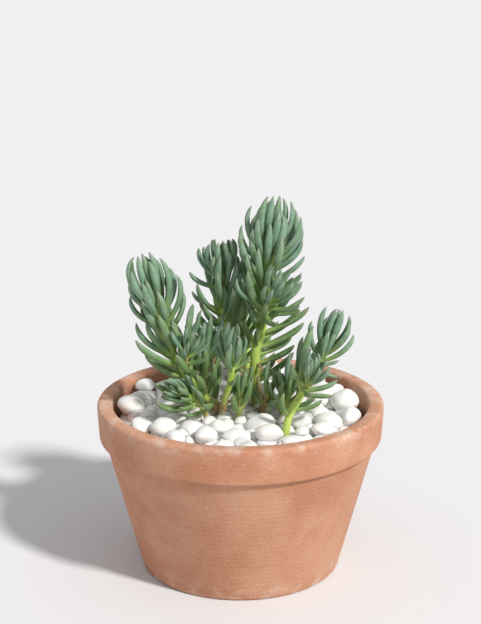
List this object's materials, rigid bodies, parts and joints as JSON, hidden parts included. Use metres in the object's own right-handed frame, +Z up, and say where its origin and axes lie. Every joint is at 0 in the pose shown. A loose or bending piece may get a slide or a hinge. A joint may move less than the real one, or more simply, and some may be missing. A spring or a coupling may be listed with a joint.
{
  "type": "potted blue spruce sedum",
  "caption": "Young blue spruce sedum with finger-like blue-green leaves, growing through white pebbles in a plain terracotta half pot",
  "frame": {"origin": "middle of the pot's foot, on the surface that it stands on", "axes": "+Z up out of the pot, -Y towards the side that the picture shows, +X to its right"},
  "size_m": [0.12, 0.12, 0.159],
  "materials": {
    "terracotta": "matte",
    "soil": "matte",
    "white_pebbles": "matte",
    "leaves": "satin"
  },
  "bodies": {
    "root": {"pot": "terracotta", "soil": "soil", "pebbles": "white_pebbles", "main_shoot": "leaves", "back_shoot": "leaves", "left_shoot": "leaves", "inner_left_shoot": "leaves", "front_shoot": "leaves", "right_shoot": "leaves", "small_right_shoot": "leaves", "thin_right_shoot": "leaves", "low_left_shoot": "leaves", "withered_shoot": "leaves", "rear_shoot": "leaves", "rear_left_shoot": "leaves", "low_middle_shoot": "leaves"}
  },
  "joints": []
}
